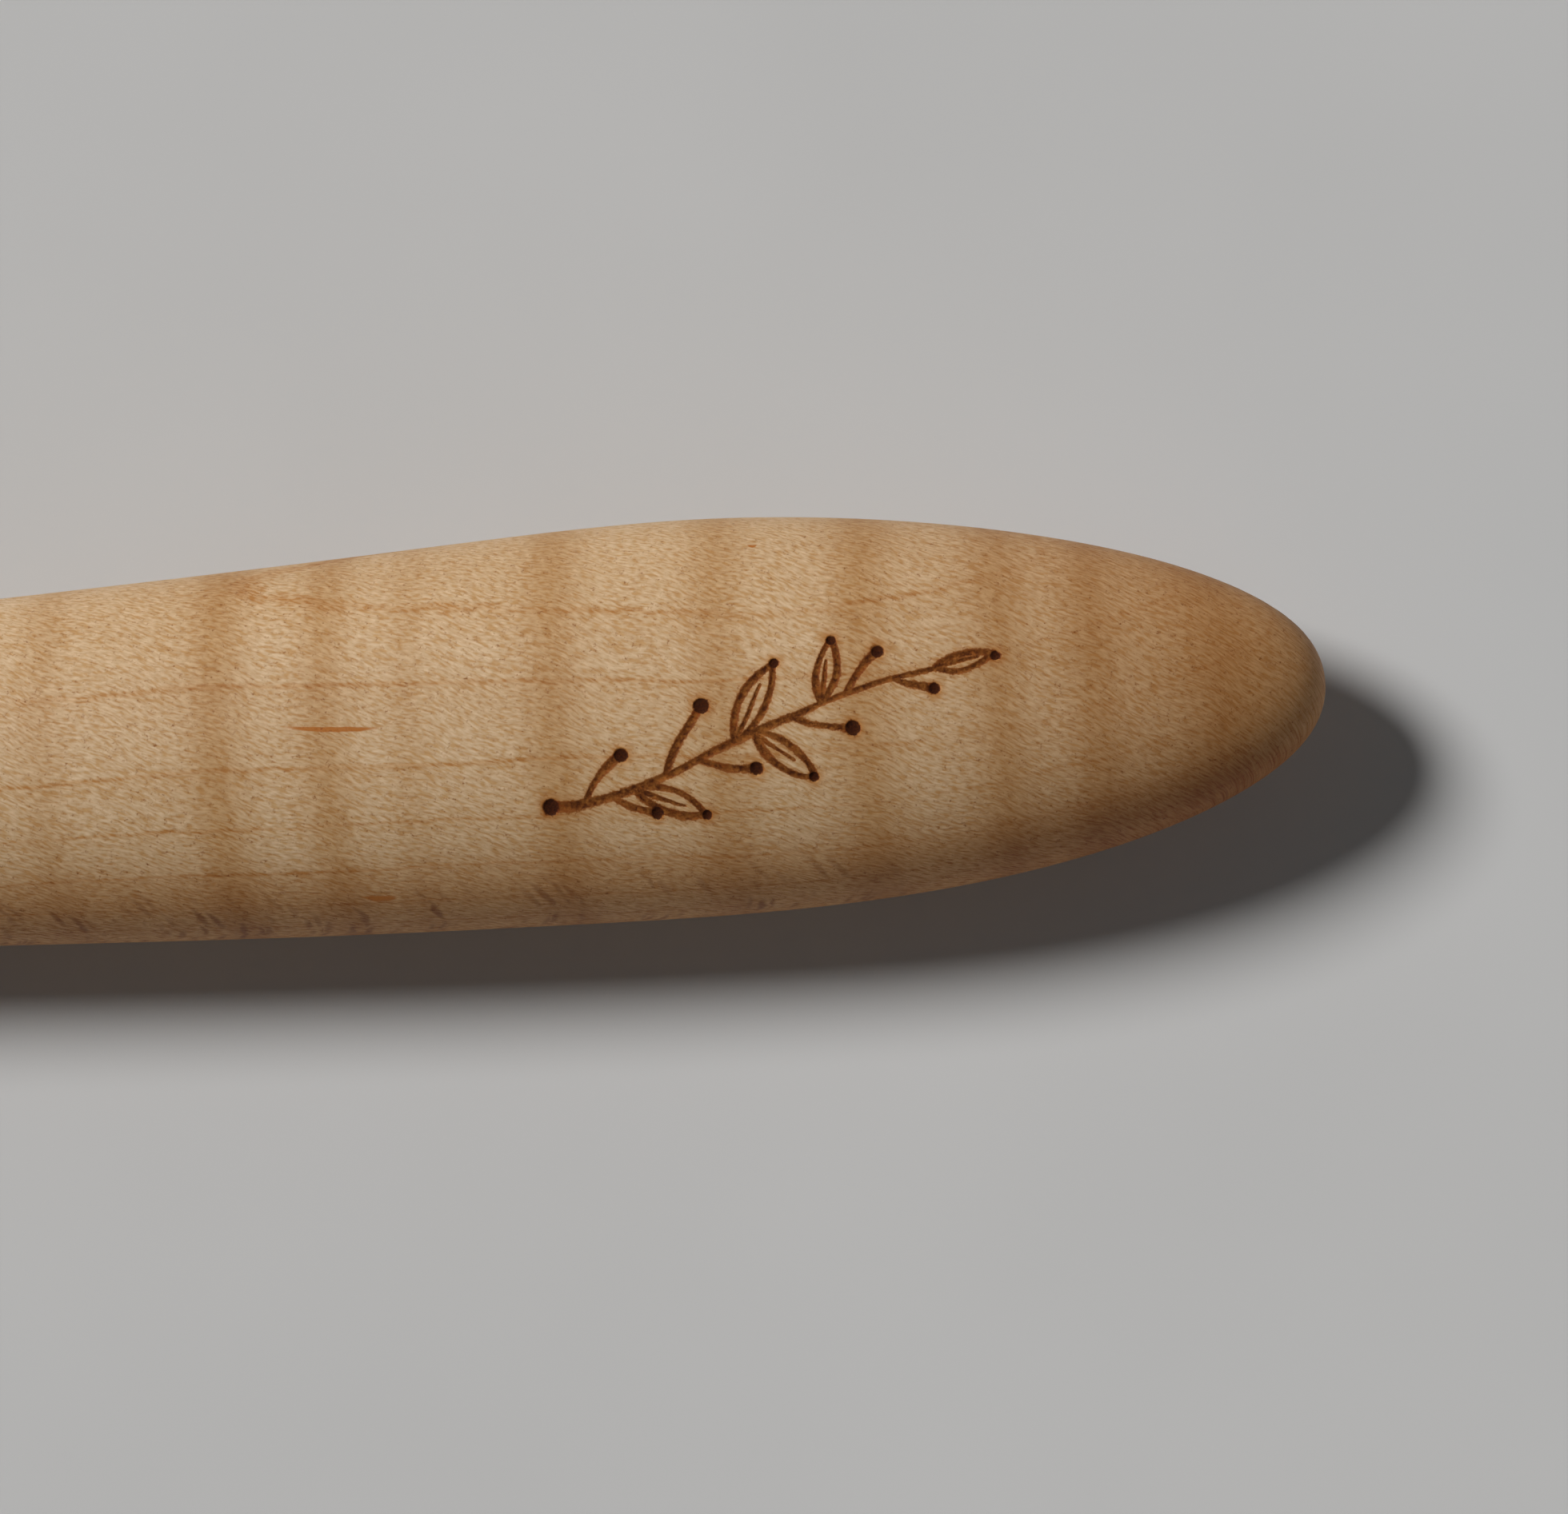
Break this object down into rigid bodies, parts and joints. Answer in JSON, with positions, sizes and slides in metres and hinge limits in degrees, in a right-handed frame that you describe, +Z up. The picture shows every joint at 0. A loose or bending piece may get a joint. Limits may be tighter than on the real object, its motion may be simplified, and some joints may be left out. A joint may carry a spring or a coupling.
{
  "type": "wood burning pen",
  "caption": "Cordless wood burning pen: carved figured-maple handle with a closed butt, brass ferrule, vented heat guard, knurled lock nut and slanted wedge point",
  "frame": {"origin": "bottom centre of the pen lying on the flat along its underside", "axes": "+X towards the rounded butt and the burning point at -X, +Z up out of the surface it lies on, +Y to the pen's side"},
  "size_m": [0.19, 0.024, 0.0183],
  "materials": {
    "maple": "oiled and hand-rubbed figured hard maple",
    "brass": "satin turned brass",
    "cell_can": "blue shrink sleeve on a metal can",
    "steel": "turned stainless steel",
    "wire_sleeve": "silicone insulation",
    "board": "green solder mask",
    "black_plastic": "moulded black plastic",
    "button": "satin black heat-proof plastic",
    "led": "encapsulated light source",
    "lens": "clear acrylic",
    "ceramic": "fired alumina",
    "mica": "mica-filled insulating sleeve",
    "point_brass": "ground brass, darkened by heat"
  },
  "bodies": {
    "pen": {"handle": "maple", "base_cover": "maple", "cover_screws": "brass", "battery_cell": "cell_can", "rear_contact": "steel", "front_contact": "steel", "battery_wires": "wire_sleeve", "control_board": "board", "board_screws": "steel", "board_components": "black_plastic", "tact_switch": "black_plastic", "button_bezel": "brass", "slide_switch": "black_plastic", "slider_plate": "brass", "status_led": "led", "led_lens": "lens", "socket_shell": "steel", "socket_body": "black_plastic", "front_ferrule": "brass", "ferrule_pins": "brass", "insulator_bush": "ceramic", "heater_barrel": "steel", "heater_sleeve": "mica", "heater_core": "ceramic", "heater_leads": "wire_sleeve", "heat_guard": "steel", "guard_screws": "steel", "guard_ring": "steel", "point_socket": "steel", "burning_point": "point_brass"},
    "button": {"power_button": "button", "switch_plunger": "black_plastic"},
    "lock": {"lock_slider": "button", "switch_lever": "black_plastic"},
    "nut": {"point_nut": "steel"}
  },
  "joints": [
    {"name": "button_press", "type": "slide", "parent": "pen", "child": "button", "axis": [0, 0, -1], "range_m": [0, 0.0007], "stiffness_N_per_m": 1800, "springref_m": -0.0003},
    {"name": "lock_slide", "type": "slide", "parent": "pen", "child": "lock", "axis": [-1, 0, 0], "range_m": [0, 0.0024]},
    {"name": "nut_turn", "type": "hinge", "parent": "pen", "child": "nut", "pos_m": [-0.078, -0.0004, 0.0084], "axis": [-1, 0, 0], "continuous": true}
  ]
}
